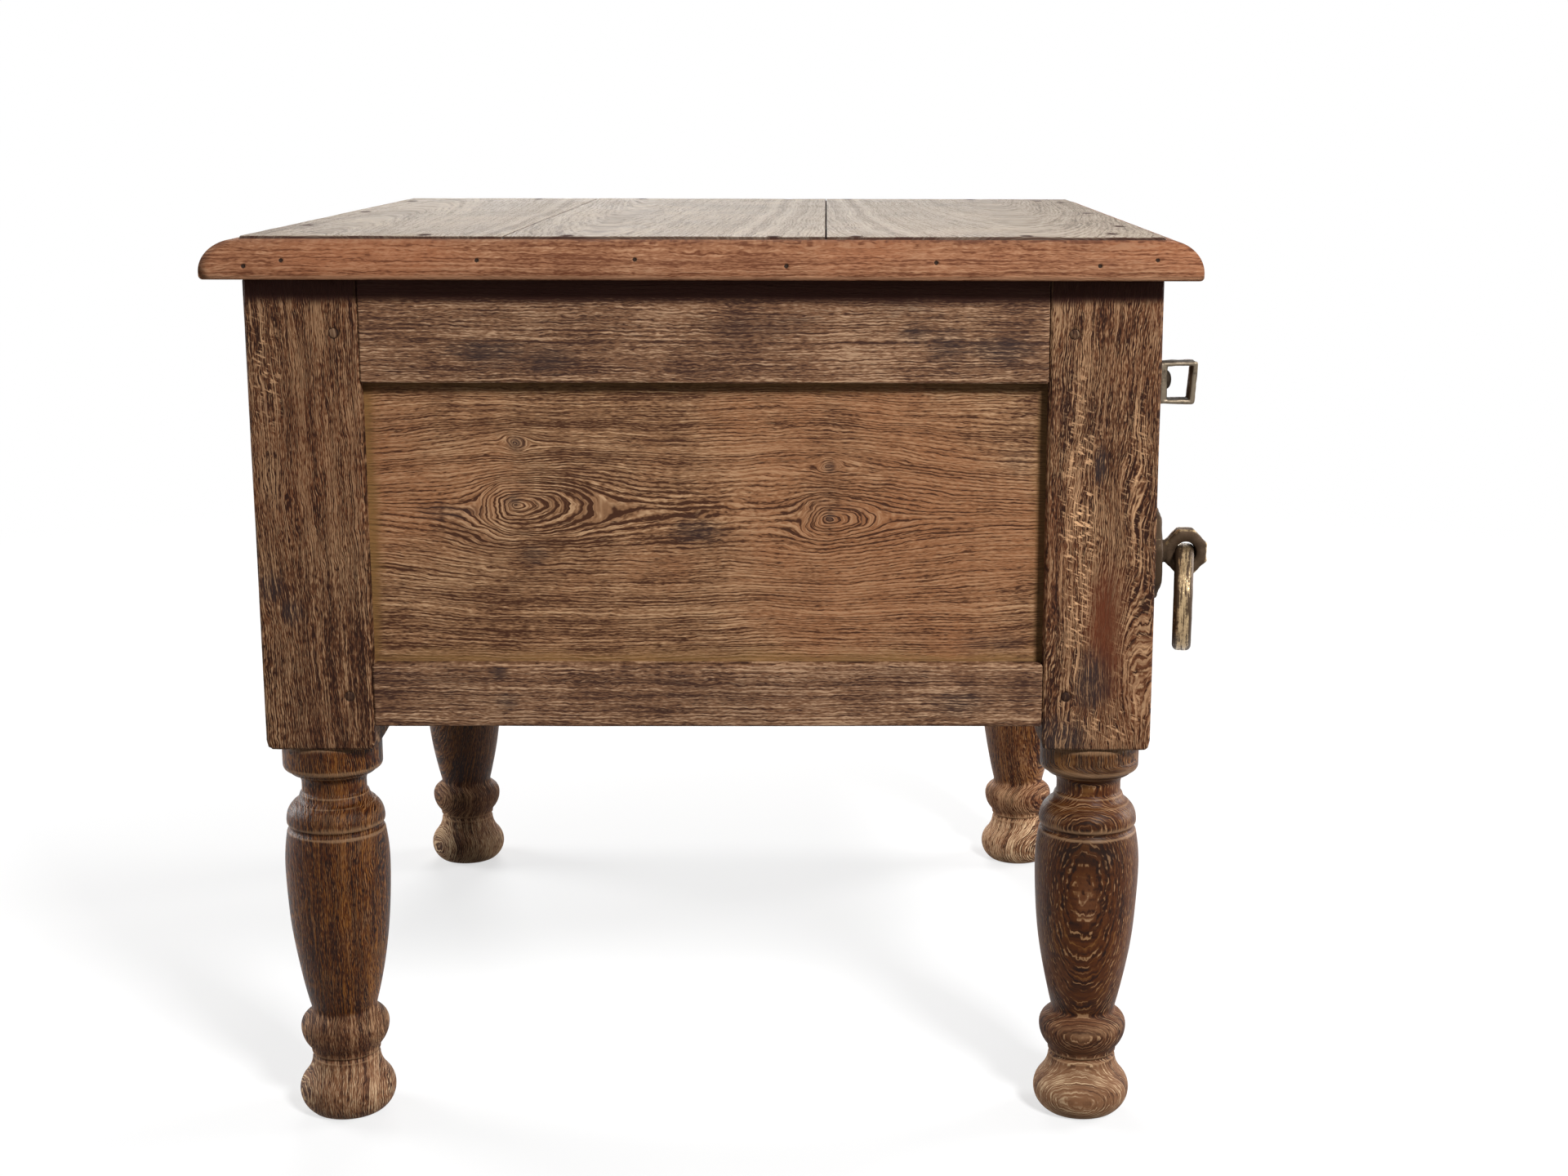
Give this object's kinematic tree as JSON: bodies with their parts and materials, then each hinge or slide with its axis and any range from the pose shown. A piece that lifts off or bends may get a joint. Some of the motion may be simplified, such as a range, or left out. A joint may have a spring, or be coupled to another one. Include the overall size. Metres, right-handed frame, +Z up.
{
  "type": "lowboy",
  "caption": "Low plank-topped chest on turned legs, with a deep lipped drawer, ring pulls, lock staples, framed panels and a mitred quarter-round edge.",
  "frame": {"origin": "on the floor, under the centre of the whole object's box", "axes": "+X along the drawer front, to the right seen from the front; -Y out of the drawer front; +Z up"},
  "size_m": [0.684, 0.673, 0.6205],
  "materials": {
    "teak_post": "worn reddish brown teak, open grain with pale filled pores",
    "teak_rail": "worn brown teak with dark stains",
    "teak_panel": "warm brown teak with knots",
    "teak_top": "greyed, dry teak boards",
    "teak_moulding": "cleaner orange brown teak",
    "teak_drawer_front": "worn brown teak",
    "teak_inside": "unfinished, dusty teak",
    "peg_wood": "dark end grain",
    "forged_iron": "brown hand-forged iron",
    "nut_iron": "dull iron",
    "dark_brass": "dark greenish brown patina",
    "worn_brass": "patina rubbed bright in places"
  },
  "bodies": {
    "case": {"drawer_guide_left": "teak_inside", "drawer_guide_right": "teak_inside", "drawer_kicker_left": "teak_inside", "drawer_kicker_right": "teak_inside", "drawer_runner_left": "teak_inside", "drawer_runner_right": "teak_inside", "joint_pegs": "peg_wood", "leg_back_left": "teak_post", "leg_back_right": "teak_post", "leg_front_left": "teak_post", "leg_front_right": "teak_post", "low_rail_back": "teak_rail", "low_rail_front": "teak_rail", "low_rail_left": "teak_rail", "low_rail_right": "teak_rail", "moulding_back": "teak_moulding", "moulding_front": "teak_moulding", "moulding_left": "teak_moulding", "moulding_right": "teak_moulding", "panel_back": "teak_panel", "panel_left": "teak_panel", "panel_right": "teak_panel", "staple_left": "forged_iron", "staple_right": "forged_iron", "staple_rivet_left": "forged_iron", "staple_rivet_right": "forged_iron", "top_board_back": "teak_top", "top_board_front": "teak_top", "top_board_middle": "teak_top", "top_rail_back": "teak_rail", "top_rail_front": "teak_rail", "top_rail_left": "teak_rail", "top_rail_right": "teak_rail"},
    "drawer": {"drawer_back": "teak_inside", "drawer_bottom": "teak_inside", "drawer_front": "teak_drawer_front", "drawer_side_left": "teak_inside", "drawer_side_right": "teak_inside", "pull_knob_left": "dark_brass", "pull_knob_right": "dark_brass", "pull_nut_left": "nut_iron", "pull_nut_right": "nut_iron", "pull_plate_left": "dark_brass", "pull_plate_right": "dark_brass", "pull_washer_left": "nut_iron", "pull_washer_right": "nut_iron"},
    "pull_ring_left": {"ring_left": "worn_brass"},
    "pull_ring_right": {"ring_right": "worn_brass"}
  },
  "joints": [
    {"name": "drawer_slide", "type": "slide", "parent": "case", "child": "drawer", "axis": [0, -1, 0], "range_m": [0, 0.38]},
    {"name": "ring_left_swing", "type": "hinge", "parent": "drawer", "child": "pull_ring_left", "pos_m": [-0.214, -0.321, 0.3935], "axis": [-0.9882, 0.153, 0], "range_deg": [-15, 195]},
    {"name": "ring_right_swing", "type": "hinge", "parent": "drawer", "child": "pull_ring_right", "pos_m": [0.214, -0.321, 0.3935], "axis": [-0.9882, -0.153, 0], "range_deg": [-15, 195]}
  ]
}
